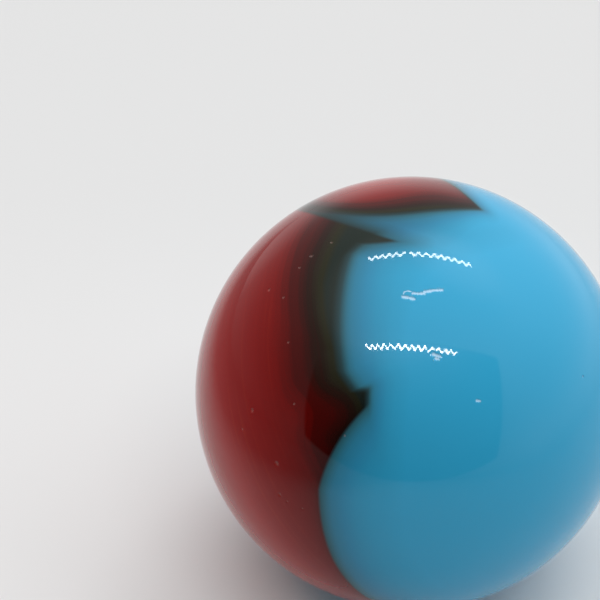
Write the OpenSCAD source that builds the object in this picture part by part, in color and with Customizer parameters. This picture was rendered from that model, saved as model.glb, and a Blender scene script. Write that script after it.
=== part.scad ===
// Glass marble: one solid ball, in which a gather of red glass was folded over a gather of
// light blue glass while both were hot. The origin is the centre of the ball, +Z is up and
// -Y faces the side that shows both glasses.
//
// A point on the ball is given by its bearing, in degrees round from -Y towards +X, and its
// height, in degrees up from the equator. A fold is the round front of a lobe of glass, so it
// is the cap of the ball that lies within its reach, also in degrees, of its middle point.

/* [Ball] */
// Diameter of the ball
ball_d = 16; // [12:0.5:30]

/* [Red glass] */
// Red side of the ball: bearing, height and reach of its middle
red_side = [-69, 27, 83]; // [-180:0.1:180]
// Red crown that lies over the top of the ball
red_crown = [178.6, 56.9, 33.6]; // [-180:0.1:180]
// Front of the crown, which draws it out to a point on the right
red_brow = [-162.9, 28.8, 59.5]; // [-180:0.1:180]
// Red spike under the crown
red_spike = [-148, 74, 23.1]; // [-180:0.1:180]

/* [Blue glass] */
// Upper blue bay: its long edge against the red
blue_wide = [62.1, 39.5, 61.7]; // [-180:0.1:180]
// Upper blue bay: its rounded lower corner
blue_round = [18.1, 59.6, 30.6]; // [-180:0.1:180]
// Upper blue bay: its floor, along the tooth of red
blue_floor = [-168.7, 58.1, 80]; // [-180:0.1:180]
// Blue that blunts the tooth
blue_middle = [47, 29.5, 50]; // [-180:0.1:180]
// Lower blue lobe: its upper edge
blue_lobe = [23.4, 3.7, 46.3]; // [-180:0.1:180]
// Lower blue lobe: its lower edge
blue_keel = [45.3, 10, 66.7]; // [-180:0.1:180]
// Blue wedge between the spike and the crown
blue_wedge = [154, 49.4, 51.2]; // [-180:0.1:180]
// Blue that ends the crown on the right
blue_end = [120.9, 15.9, 56]; // [-180:0.1:180]

/* [Hidden] */
$fn = 96;
ball_r = ball_d / 2;
slab = 2 * ball_d;

// Half space that cuts the ball in the cap of one fold.
module fold(place) {
    rotate([90 - place[1], 0, place[0]])
        translate([0, 0, ball_r * cos(place[2])])
            cylinder(r = slab, h = slab);
}

module upper_bay() {
    intersection() {
        fold(blue_wide);
        fold(blue_round);
        fold(blue_floor);
    }
}

module lower_lobe() {
    intersection() {
        fold(blue_lobe);
        fold(blue_keel);
    }
}

module side_fold() {
    difference() {
        fold(red_side);
        upper_bay();
        lower_lobe();
        fold(blue_middle);
        fold(blue_wedge);
    }
}

module spike_fold() {
    difference() {
        fold(red_spike);
        fold(blue_wedge);
    }
}

module crown_fold() {
    difference() {
        intersection() {
            fold(red_crown);
            fold(red_brow);
        }
        fold(blue_end);
    }
}

// Where the red glass lies, before it is cut to the ball.
module red_folds() {
    side_fold();
    intersection() {
        fold(red_side);
        union() {
            spike_fold();
            crown_fold();
        }
    }
}

module red_glass() {
    color("firebrick") intersection() {
        sphere(d = ball_d);
        red_folds();
    }
}

module blue_glass() {
    color("deepskyblue") difference() {
        sphere(d = ball_d);
        red_folds();
    }
}

module glass_marble() {
    blue_glass();
    red_glass();
}

glass_marble();
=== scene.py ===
import math
import random

import bmesh
import bpy
import numpy as np
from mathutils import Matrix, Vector


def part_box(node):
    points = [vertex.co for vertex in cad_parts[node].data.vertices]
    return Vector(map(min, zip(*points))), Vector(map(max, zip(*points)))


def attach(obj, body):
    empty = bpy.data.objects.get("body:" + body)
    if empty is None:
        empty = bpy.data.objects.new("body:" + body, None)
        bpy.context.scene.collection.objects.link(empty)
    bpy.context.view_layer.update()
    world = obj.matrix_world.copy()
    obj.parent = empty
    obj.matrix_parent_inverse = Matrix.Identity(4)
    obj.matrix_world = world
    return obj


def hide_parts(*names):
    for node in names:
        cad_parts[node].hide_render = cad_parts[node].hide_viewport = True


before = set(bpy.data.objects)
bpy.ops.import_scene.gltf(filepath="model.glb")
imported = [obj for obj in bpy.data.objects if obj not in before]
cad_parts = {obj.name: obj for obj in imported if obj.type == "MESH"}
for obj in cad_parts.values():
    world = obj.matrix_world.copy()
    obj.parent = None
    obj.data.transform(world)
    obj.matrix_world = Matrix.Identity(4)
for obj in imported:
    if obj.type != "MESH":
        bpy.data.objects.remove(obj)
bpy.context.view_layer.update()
ballLow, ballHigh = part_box("glass_marble")
ballMiddle = (ballLow + ballHigh) / 2
ballRadius = (ballHigh.z - ballLow.z) / 2
radiusMm = ballRadius * 1000
mm = 0.001


def hexColour(code):
    # sRGB hex to the linear colour that a shader takes
    parts = [int(code[i:i + 2], 16) / 255 for i in (1, 3, 5)]
    return (*[c / 12.92 if c <= 0.04045 else ((c + 0.055) / 1.055) ** 2.4 for c in parts], 1.0)


def addNode(tree, kind, inputs=None, **settings):
    # one node with its settings; a socket given as an input is linked, anything else is set
    node = tree.nodes.new(kind)
    for name, value in settings.items():
        setattr(node, name, value)
    for socket, value in (inputs or {}).items():
        if isinstance(value, bpy.types.NodeSocket):
            tree.links.new(value, node.inputs[socket])
        else:
            node.inputs[socket].default_value = value
    return node


def wayTo(bearing, height):
    # unit direction from the ball's middle: degrees round from -Y towards +X, degrees up
    b, h = math.radians(bearing), math.radians(height)
    return Vector((math.cos(h) * math.sin(b), -math.cos(h) * math.cos(b), math.sin(h)))


# ---- camera
camera = {
    "lens": 135,
    "ballShare": 0.7207,     # of the view's width that the ball takes
    "heightAngle": 40,       # degrees that the camera looks down on the ball
    "pan": 3.685,            # degrees turned to the left, so the ball stands right of the middle
    "tilt": 37.709,          # degrees turned down, less than the height angle, so it stands low
}


def placeCamera():
    data = bpy.data.cameras.new("camera")
    data.lens = camera["lens"]
    data.clip_start = mm
    halfAngle = math.atan(camera["ballShare"] / 2 * data.sensor_width / data.lens)
    distance = ballRadius / math.sin(halfAngle)
    obj = bpy.data.objects.new("camera", data)
    obj.location = ballMiddle + wayTo(0, camera["heightAngle"]) * distance
    obj.rotation_euler = (math.radians(90 - camera["tilt"]), 0, math.radians(camera["pan"]))
    bpy.context.scene.collection.objects.link(obj)
    bpy.context.scene.camera = obj


placeCamera()
print("camera placed")

# ---- the folds of the two glasses: bearing, height and reach in degrees
folds = {
    "redSide": (-69, 27, 83),
    "redCrown": (178.6, 56.9, 33.6),
    "redBrow": (-162.9, 28.8, 59.5),
    "redSpike": (-148, 74, 23.1),
    "blueWide": (62.1, 39.5, 61.7),
    "blueRound": (18.1, 59.6, 30.6),
    "blueFloor": (-168.7, 58.1, 80),
    "blueMiddle": (47, 29.5, 50),
    "blueLobe": (23.4, 3.7, 46.3),
    "blueKeel": (45.3, 10, 66.7),
    "blueWedge": (154, 49.4, 51.2),
    "blueEnd": (120.9, 15.9, 56),
}
edgeSoftness = {             # mm, either side of each edge; the crown and the brow make one front
    "redSide": 0.06,
    "redSpike": 0.1,
    "crownFront": 0.17,
    "blueWide": 0.32,
    "blueRound": 0.25,
    "blueFloor": 0.13,
    "blueMiddle": 0.16,
    "blueLobe": 0.08,
    "blueKeel": 0.08,
    "blueWedge": 0.08,
    "blueEnd": 0.08,
}
glass = {
    "flowLength": 5.0,       # mm, of the slow bends in the folds' edges
    "flowBend": 0.06,        # mm that they bend by
    "streakWidth": 0.22,     # mm, of the fine streaks along the smoky band
    "streakDrift": 0.12,     # streaks that are crossed in each mm along the band
    "streakShift": 0.35,     # mm that a streak moves the band's colours in or out
    # mm to the right on the crown, and how many times narrower its band is there
    "crownScales": [(-3.6, 3.6), (-2.0, 2.65), (-0.5, 1.75), (1.0, 1.9), (2.4, 3.4)],
    # the same, and how many times narrower its shade on the blue is
    "crownShades": [(-0.5, 1.0), (0.6, 1.2), (1.6, 2.0), (2.4, 3.4)],
    "crownRound": 0.9,       # mm, of the corner where the crown and the brow meet
    "teeth": [               # bearing, height, reach in mm, and mm that the band shifts out there
        (-19.2, 33.3, 1.3, 0.85),
        (-30.0, 30.0, 1.3, 0.5),
    ],
    "toothShort": 2.0,       # times narrower that the tooth's shade on the blue is
    "bandHeights": (5.8, 6.9),  # mm up, between which the band widens
    "bandWidens": 0.5,       # mm
    "smokeAndPaintedLight": [               # mm in from the soft blue edge, and the colour there: the smoky band, then red painted brighter the deeper in it lies
        (0.0, "#18241e"),
        (0.35, "#25240f"),
        (0.5, "#262010"),
        (0.7, "#251408"),
        (0.95, "#2d0c04"),
        (1.15, "#3c0903"),
        (1.35, "#4a0602"),
        (1.8, "#500401"),
        (2.1, "#660401"),
        (2.35, "#740401"),
        (2.7, "#7f0401"),
        # painted light over the glass's own red: from here in, the red is painted brighter the deeper it
        # lies, lighting the broad red side
        (3.5, "#8a0402"),
        (4.7, "#940402"),
        (6.0, "#a80402"),
    ],
    "orange": "#b43c14",     # of the fine streaks in the bright red
    "orangeShare": 0.15,
    "orangeDepths": (2.6, 3.2),  # mm in, between which they begin
    "orangeStreaks": (0.55, 0.75),  # levels of the streaks' noise, between which they begin
    "rim": [                 # mm in from the lobe's edge, and how much of its colour the red keeps
        (0.0, "#9f9f9f"),
        (0.2, "#c0c0c0"),
        (0.5, "#d2d2d2"),
        (0.9, "#dedede"),
        (1.7, "#efefef"),
        (2.6, "#f9f9f9"),
        (3.4, "#ffffff"),
    ],
    "blue": "#33a6d2",
    "blueShade": [           # mm out from the red, and how much of its colour the blue keeps
        (0.0, "#dc8472"),
        (0.2, "#e8ac9f"),
        (0.45, "#edc7c3"),
        (0.87, "#f0d9da"),
        (1.3, "#f3e9e8"),
        (1.9, "#f8f5f4"),
        (3.0, "#ffffff"),
    ],
    "spikeShade": [          # the same, out from the spike, which is thin
        (0.0, "#e4c4b6"),
        (0.15, "#ecd6cd"),
        (0.4, "#f6ebe8"),
        (0.7, "#ffffff"),
    ],
    "flaws": {               # how much each kind of flaw pales the glass, by how deep in it a point is
        "pit": [(0.0, "#000000"), (1.0, "#606060")],
        # the scuffs: partly their bruised glass, partly a painted glint of light in them
        "nick": [(0.0, "#000000"), (0.35, "#585858"), (1.0, "#e2e2e2")],
    },
    # the scuffs' pale blue-white is partly a painted glint
    "flawColours": {"pit": "#f4c0b4", "nick": "#c6e8ff"},
    "roughness": 0.035,
    "flawRoughness": 0.35,   # added to it on a flaw's floor
    "ior": 1.5,
    "specular": 0.29,
}


def foldDepth(tree, way, place):
    # mm that a point on the ball lies inside the round front of a fold
    bearing, height, reach = place
    dot = addNode(tree, "ShaderNodeVectorMath", {0: way, 1: wayTo(bearing, height)},
                  operation="DOT_PRODUCT").outputs["Value"]
    angle = addNode(tree, "ShaderNodeMath", {0: dot}, operation="ARCCOSINE").outputs[0]
    return addNode(tree, "ShaderNodeMath",
                   {0: angle, 1: -radiusMm, 2: math.radians(reach) * radiusMm},
                   operation="MULTIPLY_ADD").outputs[0]


def combine(tree, values, operation):
    # two or more values in one; the depth inside several folds at once is their MINIMUM
    total = values[0]
    for other in values[1:]:
        total = addNode(tree, "ShaderNodeMath", {0: total, 1: other}, operation=operation).outputs[0]
    return total


def beyondEdges(tree, depths):
    # mm out from a piece of red glass, round its corners too: depths are positive past each edge
    total = 0.0
    for depth in depths:
        past = addNode(tree, "ShaderNodeMath", {0: depth, 1: 0.0}, operation="MAXIMUM").outputs[0]
        total = addNode(tree, "ShaderNodeMath", {0: past, 1: past, 2: total},
                        operation="MULTIPLY_ADD").outputs[0]
    return addNode(tree, "ShaderNodeMath", {0: total}, operation="SQRT").outputs[0]


def colourByDepth(tree, depth, stops):
    # a ramp whose stops are given in mm, or as shares of a flaw's depth
    reach = stops[-1][0]
    share = addNode(tree, "ShaderNodeMath", {0: depth, 1: reach}, operation="DIVIDE").outputs[0]
    ramp = addNode(tree, "ShaderNodeValToRGB", {"Fac": share})
    elements = ramp.color_ramp.elements
    while len(elements) < len(stops):
        elements.new(0.5)
    for element, (at, code) in zip(elements, stops):
        element.position = at / reach
        element.color = hexColour(code)
    return ramp.outputs["Color"]


def levelBy(tree, value, stops):
    # a smooth curve of levels through the stops; the ramp holds them as shares of the highest
    low, high = stops[0][0], stops[-1][0]
    peak = max(level for at, level in stops)
    share = addNode(tree, "ShaderNodeMapRange", {"Value": value, "From Min": low, "From Max": high})
    ramp = addNode(tree, "ShaderNodeValToRGB", {"Fac": share.outputs["Result"]})
    ramp.color_ramp.interpolation = "CARDINAL"
    elements = ramp.color_ramp.elements
    while len(elements) < len(stops):
        elements.new(0.5)
    for element, (at, level) in zip(elements, stops):
        element.position = (at - low) / (high - low)
        element.color = (*[level / peak] * 3, 1.0)
    return combine(tree, [ramp.outputs["Color"], peak], "MULTIPLY")


def foldedGlass():
    # opaque soda-lime glass, two gathers folded together hot and rolled in grooved rollers:
    # a wet, even gloss over saturated colour, crisp where one glass laps the other and
    # smoky olive and brown where they mixed
    material = bpy.data.materials.new("folded_opaque_glass")
    material.use_nodes = True
    tree = material.node_tree
    tree.nodes.clear()
    place = addNode(tree, "ShaderNodeTexCoord").outputs["Object"]
    inMm = addNode(tree, "ShaderNodeVectorMath", {0: place, "Scale": 1000}, operation="SCALE").outputs[0]
    flow = addNode(tree, "ShaderNodeTexNoise",
                   {"Vector": inMm, "Scale": 1 / glass["flowLength"], "Detail": 2.0}).outputs["Color"]
    bend = addNode(tree, "ShaderNodeVectorMath", {0: flow, 1: (0.5, 0.5, 0.5)}, operation="SUBTRACT")
    bent = addNode(tree, "ShaderNodeVectorMath",
                   {0: bend.outputs[0], 1: [glass["flowBend"] * 2] * 3, 2: inMm},
                   operation="MULTIPLY_ADD").outputs[0]
    way = addNode(tree, "ShaderNodeVectorMath", {0: bent}, operation="NORMALIZE").outputs[0]

    # mm inside each fold; the crown's two fronts meet in a round corner
    depth = {name: foldDepth(tree, way, place) for name, place in folds.items()}
    depth["crownFront"] = addNode(tree, "ShaderNodeMath",
                                  {0: depth["redCrown"], 1: depth["redBrow"], 2: glass["crownRound"]},
                                  operation="SMOOTH_MIN").outputs[0]
    depth["lobe"] = combine(tree, [depth["blueLobe"], depth["blueKeel"]], "MINIMUM")
    away = {name: combine(tree, [depth[name], -1.0], "MULTIPLY")
            for name in ("redSide", "redSpike", "crownFront", "lobe", "blueWide", "blueEnd")}

    # how red a point is: the side's mass less the blue lobes, and the spike and the crown. A red
    # fold leaves the red that lies inside it, and a blue fold the red that lies outside it
    leaves = {}
    for name, softness in edgeSoftness.items():
        start = softness if name.startswith("blue") else -softness
        leaves[name] = addNode(tree, "ShaderNodeMapRange",
                               {"Value": depth[name], "From Min": start, "From Max": -start},
                               interpolation_type="SMOOTHSTEP").outputs["Result"]
    notBay = combine(tree, [leaves[n] for n in ("blueWide", "blueRound", "blueFloor")], "MAXIMUM")
    notLobe = combine(tree, [leaves["blueLobe"], leaves["blueKeel"]], "MAXIMUM")
    mass = combine(tree, [leaves["redSide"], notBay, notLobe, leaves["blueMiddle"], leaves["blueWedge"]],
                   "MULTIPLY")
    spike = combine(tree, [leaves["redSide"], leaves["redSpike"], leaves["blueWedge"]], "MULTIPLY")
    crown = combine(tree, [leaves["redSide"], leaves["crownFront"], leaves["blueEnd"]], "MULTIPLY")
    red = combine(tree, [mass, spike, crown], "MAXIMUM")

    # how far a point lies from the edges of the red, in mm
    pastFloor, pastMiddle = [combine(tree, [depth[n], glass["toothShort"]], "MULTIPLY")
                             for n in ("blueFloor", "blueMiddle")]
    bayDepth = combine(tree, [depth["blueWide"], depth["blueRound"], pastFloor], "MINIMUM")
    fromMass = beyondEdges(tree, [away["redSide"], bayDepth, depth["lobe"], pastMiddle, depth["blueWedge"]])
    fromSpike = beyondEdges(tree, [away["redSide"], away["redSpike"], depth["blueWedge"]])
    along = addNode(tree, "ShaderNodeSeparateXYZ", {0: inMm}).outputs
    fromCrown = combine(tree, [beyondEdges(tree, [away["redSide"], away["crownFront"], depth["blueEnd"]]),
                               levelBy(tree, along["X"], glass["crownShades"])], "MULTIPLY")
    rimDepth = combine(tree, [away["lobe"], away["blueEnd"]], "MINIMUM")

    # the smoky band follows the upper lobe and the crown's own front, and fills the tooth
    sideSmoke = away["blueWide"]
    for bearing, height, reach, shift in glass["teeth"]:
        fromTooth = foldDepth(tree, way, (bearing, height, math.degrees(reach / radiusMm)))
        tooth = addNode(tree, "ShaderNodeMapRange", {"Value": fromTooth, "From Max": reach, "To Max": shift},
                        interpolation_type="SMOOTHSTEP").outputs["Result"]
        sideSmoke = combine(tree, [sideSmoke, tooth], "ADD")
    low, high = glass["bandHeights"]
    widening = addNode(tree, "ShaderNodeMapRange", {"Value": along["Z"], "From Min": low, "From Max": high,
                                                    "To Max": glass["bandWidens"]}).outputs["Result"]
    sideSmoke = combine(tree, [sideSmoke, widening], "SUBTRACT")
    crownScale = levelBy(tree, along["X"], glass["crownScales"])
    crownSmoke = combine(tree, [depth["crownFront"], crownScale], "MULTIPLY")
    smokeDepth = addNode(tree, "ShaderNodeMix", {"Factor": crown, 2: sideSmoke, 3: crownSmoke},
                         data_type="FLOAT").outputs[0]

    # fine streaks run along the band, and the brightest of them in the red are orange
    acrossBand = addNode(tree, "ShaderNodeCombineXYZ",
                         {"X": combine(tree, [smokeDepth, 1 / glass["streakWidth"]], "MULTIPLY")}).outputs[0]
    streakFlow = addNode(tree, "ShaderNodeVectorMath",
                         {0: inMm, 1: [glass["streakDrift"]] * 3, 2: acrossBand},
                         operation="MULTIPLY_ADD").outputs[0]
    streak = addNode(tree, "ShaderNodeTexNoise",
                     {"Vector": streakFlow, "Scale": 1.0, "Detail": 3.0, "Roughness": 0.6}).outputs["Fac"]
    streaked = addNode(tree, "ShaderNodeMath", {0: streak, 1: 2 * glass["streakShift"], 2: smokeDepth},
                       operation="MULTIPLY_ADD").outputs[0]
    smokeAt = combine(tree, [streaked, glass["streakShift"]], "SUBTRACT")
    # the band's smoky colours, and deeper in, red painted brighter as painted light
    smokyAndPaintedLight = colourByDepth(tree, smokeAt, glass["smokeAndPaintedLight"])
    low, high = glass["orangeDepths"]
    bright = addNode(tree, "ShaderNodeMapRange", {"Value": smokeAt, "From Min": low, "From Max": high})
    low, high = glass["orangeStreaks"]
    fine = addNode(tree, "ShaderNodeMapRange", {"Value": streak, "From Min": low, "From Max": high},
                   interpolation_type="SMOOTHSTEP")
    orangeShare = combine(tree, [bright.outputs["Result"], fine.outputs["Result"], glass["orangeShare"]],
                          "MULTIPLY")
    streaky = addNode(tree, "ShaderNodeMix", {"Factor": orangeShare, 6: smokyAndPaintedLight, 7: hexColour(glass["orange"])},
                      data_type="RGBA").outputs[2]

    # each glass is shaded near the other
    shading = {"data_type": "RGBA", "blend_type": "MULTIPLY"}
    rimShade = colourByDepth(tree, rimDepth, glass["rim"])
    redColour = addNode(tree, "ShaderNodeMix", {"Factor": 1.0, 6: streaky, 7: rimShade}, **shading).outputs[2]
    blueColour = hexColour(glass["blue"])
    for blueDepth, stops in ((fromMass, "blueShade"), (fromSpike, "spikeShade"), (fromCrown, "blueShade")):
        shade = colourByDepth(tree, blueDepth, glass[stops])
        blueColour = addNode(tree, "ShaderNodeMix", {"Factor": 1.0, 6: blueColour, 7: shade},
                             **shading).outputs[2]
    colour = addNode(tree, "ShaderNodeMix", {"Factor": red, 6: blueColour, 7: redColour},
                     data_type="RGBA").outputs[2]

    # the flaws are paler and rougher; the scuffs' paleness is partly their bruised glass and partly a painted
    # glint
    rough = glass["roughness"]
    for name, stops in glass["flaws"].items():
        flaw = addNode(tree, "ShaderNodeAttribute", attribute_name=name).outputs["Fac"]
        pale = colourByDepth(tree, flaw, stops)
        colour = addNode(tree, "ShaderNodeMix",
                         {"Factor": pale, 6: colour, 7: hexColour(glass["flawColours"][name])},
                         data_type="RGBA").outputs[2]
        rough = addNode(tree, "ShaderNodeMath", {0: flaw, 1: glass["flawRoughness"], 2: rough},
                        operation="MULTIPLY_ADD").outputs[0]
    shader = addNode(tree, "ShaderNodeBsdfPrincipled",
                     {"Base Color": colour, "Roughness": rough, "IOR": glass["ior"],
                      "Specular IOR Level": glass["specular"]})
    addNode(tree, "ShaderNodeOutputMaterial", {"Surface": shader.outputs[0]})
    print("glass mixed:", len(tree.nodes), "nodes")
    return material


# ---- the ball
ball = {
    "baseLevel": 7,          # times an icosahedron is split, for edges of about 0.15 mm
    "finer": (0.3, 0.15, 0.05),  # mm round a flaw that each further splitting takes in
    "rippleHeight": 0.0012,  # mm, the faint waviness that rolling leaves
    "rippleLength": 2.2,     # mm
    "dent": (0.6, 0.1),      # widths from a flaw's middle to its rim, and to where its floor begins
    "seed": 4,
}
pits = {
    "width": 0.13,           # mm across a usual pit
    "depth": 0.22,           # of its width
    # bearing, height in degrees, and width against the usual one
    "places": [
        (-73.9, 67.3, 0.9), (-71.9, 61.3, 1.2), (-69.4, 57.3, 0.9), (-70.9, 47.5, 1.1), (-61.7, 49.8, 0.9),
        (-46.5, 42.6, 0.8), (-47.8, 22.4, 1.3), (-35, 30.2, 0.8), (-35.6, 13.4, 1.4), (-33.6, 5, 1.2),
        (-31.2, 4, 0.8), (-26.7, 3.9, 0.7), (-49.3, 16, 0.9), (-17.8, 27.2, 0.7), (59, 30.2, 0.9),
    ],
    "more": 24,              # scattered over the sides that face away
    "moreFacing": 0.1,       # cosine of the least angle between one of those and the way to the camera
    "moreSizes": (0.6, 1.4),  # their widths against the usual one
    "seed": 11,
}
# scuffs: real shallow dents, which the glass paints pale blue-white, partly as a glint of light in them
nick = {
    "step": 0.035,           # mm, from one small dent of a scuff to the next
    "depth": 0.16,           # of a dent's width
    "uneven": 0.25,          # share that the width varies by
    # strokes, each a width in mm and a line of bearing and height in degrees
    "strokes": [
        (0.15, [(-6.4, 63.7), (-3.1, 63.6), (0.4, 63.2)]),
        (0.07, [(-6.4, 64.5), (-6.2, 65.0), (-4.1, 65.4), (-1.7, 65.2)]),
        (0.14, [(-1.1, 64.9), (2.3, 64.8), (5.8, 65.0)]),
        (0.15, [(5.8, 65.3), (11.0, 65.6), (16.6, 65.4)]),
        (0.17, [(7.8, 49.2), (8.8, 48.9), (10.4, 48.5)]),
        (0.14, [(8.6, 48.2), (9.8, 47.9)]),
        # a painted highlight: a pale spot that stands for a glint, over a faint dent
        (0.12, [(20.4, 36.8), (21.6, 36.5)]),
    ],
    "seed": 5,
}


def pitPlaces():
    # the places above, and some more where the ball faces away from the camera
    rng = random.Random(pits["seed"])
    places = [(wayTo(b, h), size * pits["width"]) for b, h, size in pits["places"]]
    shown = wayTo(0, camera["heightAngle"])
    while len(places) < len(pits["places"]) + pits["more"]:
        way = Vector([rng.gauss(0, 1) for axis in range(3)]).normalized()
        if way.dot(shown) < pits["moreFacing"]:
            places.append((way, rng.uniform(*pits["moreSizes"]) * pits["width"]))
    return places


def nickPlaces():
    # each stroke is a chain of dents that overlap
    rng = random.Random(nick["seed"])
    places = []
    for width, stroke in nick["strokes"]:
        for start, end in zip(stroke, stroke[1:]):
            first, last = wayTo(*start), wayTo(*end)
            steps = max(1, round((last - first).length * radiusMm / nick["step"]))
            for i in range(steps):
                size = width * rng.uniform(1 - nick["uneven"], 1 + nick["uneven"])
                places.append((first.lerp(last, i / steps).normalized(), size))
    return places


def refinedBall(places):
    # an icosahedral ball, split finer and finer towards each flaw
    mesh = bmesh.new()
    bmesh.ops.create_icosphere(mesh, subdivisions=ball["baseLevel"], radius=ballRadius)
    ways = np.array([way for way, width in places])
    reaches = np.array([width for way, width in places])
    for widen in ball["finer"]:
        nearness = np.cos((reaches + widen) / radiusMm)
        middles = np.array([(e.verts[0].co + e.verts[1].co).normalized() for e in mesh.edges])
        near = (middles @ ways.T > nearness).any(axis=1)
        edges = [e for e, isNear in zip(mesh.edges, near) if isNear]
        bmesh.ops.subdivide_edges(mesh, edges=edges, cuts=1, use_grid_fill=True)
        bmesh.ops.triangulate(mesh, faces=[f for f in mesh.faces if len(f.verts) > 3])
    for vert in mesh.verts:
        vert.co = vert.co.normalized() * ballRadius
    data = bpy.data.meshes.new("marble_base")
    mesh.to_mesh(data)
    mesh.free()
    return data


def linkObject(name, data):
    obj = bpy.data.objects.new(name, data)
    bpy.context.scene.collection.objects.link(obj)
    return obj


def flawGuide(name, places):
    # the flaws as loose points with a width each
    points = bpy.data.meshes.new(name)
    points.from_pydata([way * ballRadius for way, width in places], [], [])
    widths = points.attributes.new("width", "FLOAT", "POINT")
    for item, (way, width) in zip(widths.data, places):
        item.value = width * mm
    return linkObject(name, points)


def dentShare(tree, guide, onBall):
    # how deep in the nearest flaw a point is, 0 at its rim and 1 at its floor, and that flaw's width
    points = addNode(tree, "GeometryNodeObjectInfo", {"Object": guide}).outputs["Geometry"]
    toPoint = addNode(tree, "GeometryNodeProximity", {0: points, "Source Position": onBall},
                      target_element="POINTS").outputs["Distance"]
    nearest = addNode(tree, "GeometryNodeSampleNearest", {"Geometry": points, "Sample Position": onBall},
                      domain="POINT").outputs[0]
    stored = addNode(tree, "GeometryNodeInputNamedAttribute", {"Name": "width"}, data_type="FLOAT").outputs[0]
    width = addNode(tree, "GeometryNodeSampleIndex", {"Geometry": points, "Value": stored, "Index": nearest},
                    data_type="FLOAT", domain="POINT").outputs[0]
    rim, floor = ball["dent"]
    share = addNode(tree, "ShaderNodeMapRange",
                    {"Value": combine(tree, [toPoint, width], "DIVIDE"), "From Min": rim, "From Max": floor},
                    interpolation_type="SMOOTHSTEP").outputs[0]
    return share, width


def marbleTree(material):
    # geometry nodes: rolls the base mesh round, with the rolling's ripple, the pits and the scuffs
    tree = bpy.data.node_groups.new("rolledMarble", "GeometryNodeTree")
    face = tree.interface
    face.new_socket("Geometry", in_out="INPUT", socket_type="NodeSocketGeometry")
    face.new_socket("Geometry", in_out="OUTPUT", socket_type="NodeSocketGeometry")
    for name in ("Pits", "Nick"):
        face.new_socket(name, in_out="INPUT", socket_type="NodeSocketObject")
    for name in ("Radius", "Ripple height", "Ripple length", "Seed", "Pit depth", "Nick depth"):
        face.new_socket(name, in_out="INPUT", socket_type="NodeSocketFloat")
    given = addNode(tree, "NodeGroupInput").outputs
    position = addNode(tree, "GeometryNodeInputPosition").outputs[0]
    way = addNode(tree, "ShaderNodeVectorMath", {0: position}, operation="NORMALIZE").outputs[0]
    onBall = addNode(tree, "ShaderNodeVectorMath", {0: way, "Scale": given["Radius"]},
                     operation="SCALE").outputs[0]

    perLength = combine(tree, [1.0, given["Ripple length"]], "DIVIDE")
    ripple = addNode(tree, "ShaderNodeTexNoise",
                     {"Vector": onBall, "W": given["Seed"], "Scale": perLength, "Detail": 1.0},
                     noise_dimensions="4D").outputs[0]
    rippleUp = addNode(tree, "ShaderNodeMapRange",
                       {"Value": ripple, "To Max": given["Ripple height"]}).outputs[0]

    out = combine(tree, [given["Radius"], rippleUp], "SUBTRACT")
    shares = {}
    for name, guide, depth in (("pit", "Pits", "Pit depth"), ("nick", "Nick", "Nick depth")):
        shares[name], width = dentShare(tree, given[guide], onBall)
        down = combine(tree, [width, given[depth], shares[name]], "MULTIPLY")
        out = combine(tree, [out, down], "SUBTRACT")
    place = addNode(tree, "ShaderNodeVectorMath", {0: way, "Scale": out}, operation="SCALE").outputs[0]
    marked = addNode(tree, "GeometryNodeSetPosition",
                     {"Geometry": given["Geometry"], "Position": place}).outputs[0]
    for name, share in shares.items():
        marked = addNode(tree, "GeometryNodeStoreNamedAttribute",
                         {"Geometry": marked, "Name": name, "Value": share},
                         data_type="FLOAT", domain="POINT").outputs[0]
    smooth = addNode(tree, "GeometryNodeSetShadeSmooth", {0: marked}).outputs[0]
    real = addNode(tree, "GeometryNodeRealizeInstances", {"Geometry": smooth}).outputs[0]
    finished = addNode(tree, "GeometryNodeSetMaterial", {"Geometry": real, "Material": material}).outputs[0]
    addNode(tree, "NodeGroupOutput", {0: finished})
    return tree


def rollMarble(material):
    pitted, nicked = pitPlaces(), nickPlaces()
    base = linkObject("marble_base", refinedBall(pitted + nicked))
    guides = flawGuide("pit_points", pitted), flawGuide("nick_points", nicked)
    tree = marbleTree(material)
    modifier = base.modifiers.new("rolled", "NODES")
    modifier.node_group = tree
    values = {
        "Pits": guides[0],
        "Nick": guides[1],
        "Radius": ballRadius,
        "Ripple height": ball["rippleHeight"] * mm,
        "Ripple length": ball["rippleLength"] * mm,
        "Seed": float(ball["seed"]),
        "Pit depth": pits["depth"],
        "Nick depth": nick["depth"],
    }
    for item in tree.interface.items_tree:
        if item.in_out == "INPUT" and item.name in values:
            modifier[item.identifier] = values[item.name]
    base.update_tag()
    bpy.context.view_layer.update()
    evaluated = base.evaluated_get(bpy.context.evaluated_depsgraph_get())
    data = bpy.data.meshes.new_from_object(evaluated)
    data.name = "rolled_marble"
    for helper in (base, *guides):
        bpy.data.objects.remove(helper)
    marble = linkObject("rolled_marble", data)
    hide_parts("glass_marble")
    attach(marble, "root")
    print("marble rolled:", len(data.polygons), "faces")


rollMarble(foldedGlass())

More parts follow.
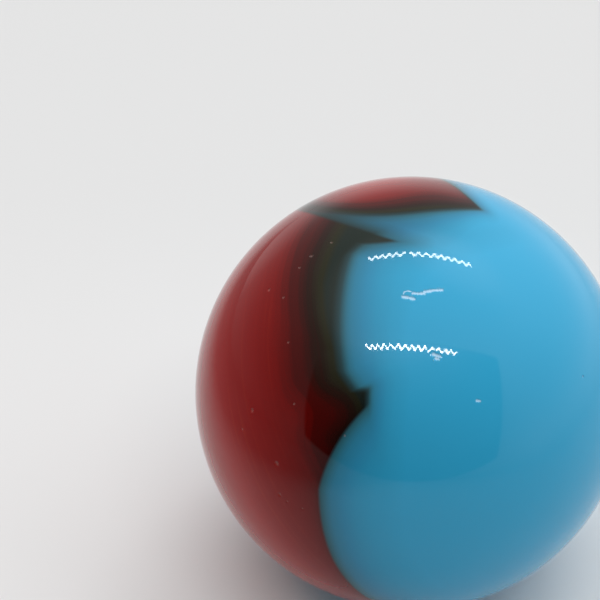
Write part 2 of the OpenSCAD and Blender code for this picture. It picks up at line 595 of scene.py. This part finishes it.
# ---- the studio: a white light box with an open front and two strips of lamps in its ceiling
studio = {
    "ceiling": 0.22,         # m above the ball, which the sizes of the strips are shares of
    # each strip's place to the back at its two ends, and its left and right end
    "stripPlaces": [(0.467, 0.467, -0.385, 0.475), (-0.507, -0.54, -0.472, 0.48)],
    "stripPowers": (0.11, 0.12),  # W
    "stripWidth": 0.05,
    "zigzagSteps": (0.029, 0.033),  # from one bend of a strip to the next
    "stepsVary": (0.85, 1.15),
    "zigzagWidths": (0.022, 0.026),  # from the middle to a bend
    "widthsVary": (0.84, 1.1),
    "dotsPerBend": 5,
    "dotWidths": (0.018, 0.0145),
    "dotsVary": (0.6, 1.0),
    "bendDot": 1.2,          # times, the dot at a bend
    "dotStrengths": (30.0, 70.0),
    "joints": (0.365, 2.0),  # share of the way along where a strip has a gap; past 1 it has none
    "jointGap": 0.022,       # share of the way along, either side
    # brightness of the walls at each bearing, from straight behind round by the left, the open
    # front and the right
    "walls": [(-180, 0.64), (-135, 0.57), (-95, 0.46), (-70, 0.36), (0, 0.42), (45, 0.6), (65, 0.95),
              (80, 1.0), (110, 1.25), (145, 1.25), (165, 0.85), (180, 0.64)],
    # times that, at each height as a sine: brighter where they meet the floor, and under the ceiling
    "wallsRise": [(-0.25, 0.6), (-0.1, 0.85), (0.0, 0.95), (0.17, 0.85), (0.38, 0.84), (0.6, 1.0),
                  (0.75, 1.1)],
    # the least brightness behind the ball, so that the wall there is no darker than the floor
    "haze": [(-0.2, 0.78), (-0.08, 0.78), (0.0, 0.74), (0.12, 0.6), (0.3, 0.42), (0.5, 0.3)],
    "hazeStarts": (0.4, 0.85),  # sines to the back, between which it grows full
    "top": 1.06,             # brightness of the ceiling
    "topStarts": (0.66, 0.82),  # heights as sines, between which the walls give way to it
    # bearing, height and reach in degrees of the ceiling's brightest part, and its own light
    "glow": (145, 50, 30, 0.9),
    # way in from each edge of the opening, how far in that edge lies as a sine, and how soft it is
    "openingEdges": [
        (0, -0.38, 1, 0.24, 0.02),
        (0, -1, -0.47, 0.0, 0.02),
        (-0.746, -0.569, 0.345, -0.107, 0.02),
        (1, -1.3, 0.61, 0.0, 0.02),
    ],
    # brightness of the room that the opening shows: height as a sine, light
    "room": [(0.0, 0.0), (0.13, 0.05), (0.38, 0.07), (0.54, 0.13), (0.61, 0.2), (0.68, 0.3), (0.74, 0.42),
             (0.8, 0.56), (0.85, 0.85), (0.9, 1.0)],
    "roomTilt": -0.15,       # the room's light sits higher to the right
    "floorColour": "#e1e1e1",
    "floorSides": (-0.1, 0.055, -0.1, 0.1),  # m: left, right, front, back
    # painted shade on the floor: the way in which it grows bright, m along it where it is dark and bright,
    # and how dark
    "floorShadeBands": [((-0.6, 0.8, 0), -0.155, -0.02, 0.0), ((0.986, 0.169, 0), -0.034, -0.0155, 0.5),
                   ((0, -1, 0), -0.025, -0.003, 0.94), ((0, 1, 0), -0.013, -0.003, 0.86)],
    "seed": 3,
}


def studioWorld():
    world = bpy.data.worlds.new("studio")
    bpy.context.scene.world = world
    world.use_nodes = True
    tree = world.node_tree
    tree.nodes.clear()
    way = addNode(tree, "ShaderNodeTexCoord").outputs["Generated"]
    across = addNode(tree, "ShaderNodeSeparateXYZ", {0: way}).outputs
    front = combine(tree, [across["Y"], -1.0], "MULTIPLY")
    bearing = combine(tree, [across["X"], front], "ARCTAN2")
    walls = levelBy(tree, bearing, [(math.radians(at), level) for at, level in studio["walls"]])
    walls = combine(tree, [walls, levelBy(tree, across["Z"], studio["wallsRise"])], "MULTIPLY")
    start, end = studio["hazeStarts"]
    behind = addNode(tree, "ShaderNodeMapRange", {"Value": across["Y"], "From Min": start, "From Max": end},
                     interpolation_type="SMOOTHSTEP").outputs["Result"]
    haze = combine(tree, [behind, levelBy(tree, across["Z"], studio["haze"])], "MULTIPLY")
    walls = combine(tree, [walls, haze], "MAXIMUM")
    start, end = studio["topStarts"]
    high = addNode(tree, "ShaderNodeMapRange", {"Value": across["Z"], "From Min": start, "From Max": end},
                   interpolation_type="SMOOTHSTEP").outputs["Result"]
    *glowPlace, reach, glowLight = studio["glow"]
    toGlow = addNode(tree, "ShaderNodeVectorMath", {0: way, 1: wayTo(*glowPlace)},
                     operation="DOT_PRODUCT").outputs["Value"]
    glow = addNode(tree, "ShaderNodeMapRange", {"Value": toGlow, "From Min": math.cos(math.radians(reach)),
                                                "To Max": glowLight},
                   interpolation_type="SMOOTHSTEP").outputs["Result"]
    ceiling = combine(tree, [glow, studio["top"]], "ADD")
    box = addNode(tree, "ShaderNodeMix", {"Factor": high, 2: walls, 3: ceiling}, data_type="FLOAT").outputs[0]
    # the opening in front lies inside four edges
    opening = []
    for *edge, inset, soft in studio["openingEdges"]:
        side = addNode(tree, "ShaderNodeVectorMath", {0: way, 1: Vector(edge).normalized()},
                       operation="DOT_PRODUCT").outputs["Value"]
        opening.append(addNode(tree, "ShaderNodeMapRange",
                               {"Value": side, "From Min": inset - soft, "From Max": inset + soft},
                               interpolation_type="SMOOTHSTEP").outputs["Result"])
    dark = combine(tree, opening, "MULTIPLY")
    height = addNode(tree, "ShaderNodeMath", {0: across["X"], 1: studio["roomTilt"], 2: across["Z"]},
                     operation="MULTIPLY_ADD").outputs[0]
    room = levelBy(tree, height, studio["room"])
    light = addNode(tree, "ShaderNodeMix", {"Factor": dark, 2: box, 3: room}, data_type="FLOAT").outputs[0]
    background = addNode(tree, "ShaderNodeBackground", {"Color": hexColour("#ffffff"), "Strength": light})
    addNode(tree, "ShaderNodeOutputWorld", {"Surface": background.outputs[0]})


def plainMaterial(name, colour, strength=None):
    material = bpy.data.materials.new(name)
    material.use_nodes = True
    tree = material.node_tree
    tree.nodes.clear()
    if strength is None:
        shader = addNode(tree, "ShaderNodeBsdfDiffuse", {"Color": hexColour(colour)})
    else:
        shader = addNode(tree, "ShaderNodeEmission", {"Color": hexColour(colour), "Strength": strength})
    addNode(tree, "ShaderNodeOutputMaterial", {"Surface": shader.outputs[0]})
    return material


def shadedBoardMaterial():
    # matt white board, with painted shade: darker in bands where less light falls on it
    material = plainMaterial("white_board_painted_shade", studio["floorColour"])
    tree = material.node_tree
    place = addNode(tree, "ShaderNodeTexCoord").outputs["Object"]
    shadeBands = []
    for way, dark, bright, low in studio["floorShadeBands"]:
        along = addNode(tree, "ShaderNodeVectorMath", {0: place, 1: way}, operation="DOT_PRODUCT")
        shadeBands.append(addNode(tree, "ShaderNodeMapRange",
                             {"Value": along.outputs["Value"], "From Min": dark, "From Max": bright,
                              "To Min": low},
                             interpolation_type="SMOOTHSTEP").outputs["Result"])
    # the painted shade multiplies the board's colour
    colour = addNode(tree, "ShaderNodeMix", {"Factor": 1.0, 6: hexColour(studio["floorColour"]),
                                             7: combine(tree, shadeBands, "MULTIPLY")},
                     data_type="RGBA", blend_type="MULTIPLY").outputs[2]
    tree.links.new(colour, tree.nodes["Diffuse BSDF"].inputs["Color"])
    return material


def layFloor():
    left, right, front, back = studio["floorSides"]
    z = ballMiddle.z - ballRadius
    data = bpy.data.meshes.new("floor")
    corners = [(left, front, z), (right, front, z), (right, back, z), (left, back, z)]
    data.from_pydata(corners, [], [(0, 1, 2, 3)])
    data.materials.append(shadedBoardMaterial())
    linkObject("floor", data)


def hangStrip(index, depths, left, right, rng):
    # an even lamp for the light, and a bent line of lamps that only reflections see
    depth = sum(depths) / 2
    high = studio["ceiling"]
    lamp = bpy.data.lights.new(f"strip_{index}", "AREA")
    lamp.shape = "RECTANGLE"
    lamp.size = (right - left) * high
    lamp.size_y = studio["stripWidth"] * high
    lamp.energy = studio["stripPowers"][index]
    obj = linkObject(f"strip_{index}", lamp)
    obj.location = ((left + right) / 2 * high, depth * high, high)
    obj.rotation_euler = (-math.atan2(depth, 1), 0, 0)
    obj.visible_glossy = False
    obj.visible_camera = False

    corners, at, side = [], left, 1
    while at < right:
        middle = depths[0] + (depths[1] - depths[0]) * (at - left) / (right - left)
        aside = side * rng.uniform(*studio["widthsVary"]) * studio["zigzagWidths"][index]
        corners.append(Vector((at, middle + aside, 1)) * high)
        at += studio["zigzagSteps"][index] * rng.uniform(*studio["stepsVary"])
        side = -side
    verts, faces = [], []
    for bend, (start, end) in enumerate(zip(corners, corners[1:])):
        for dot in range(studio["dotsPerBend"]):
            share = dot / studio["dotsPerBend"]
            if abs((bend + share) / len(corners) - studio["joints"][index]) < studio["jointGap"]:
                continue
            middle = start.lerp(end, share)
            size = studio["bendDot"] if dot == 0 else rng.uniform(*studio["dotsVary"])
            half = studio["dotWidths"][index] * size / 2 * high
            first = len(verts)
            verts += [middle + Vector((x, y, 0)) * half for x, y in ((-1, -1), (1, -1), (1, 1), (-1, 1))]
            faces.append((first, first + 1, first + 2, first + 3))
    data = bpy.data.meshes.new(f"strip_line_{index}")
    data.from_pydata(verts, [], faces)
    data.materials.append(plainMaterial(f"lamp_line_{index}", "#ffffff", studio["dotStrengths"][index]))
    line = linkObject(f"strip_line_{index}", data)
    line.visible_camera = False
    line.visible_diffuse = False
    line.visible_shadow = False


def buildStudio():
    rng = random.Random(studio["seed"])
    studioWorld()
    layFloor()
    for index, (*depths, left, right) in enumerate(studio["stripPlaces"]):
        hangStrip(index, depths, left, right, rng)
    bpy.context.scene.view_settings.view_transform = "Standard"
    print("studio built")


buildStudio()
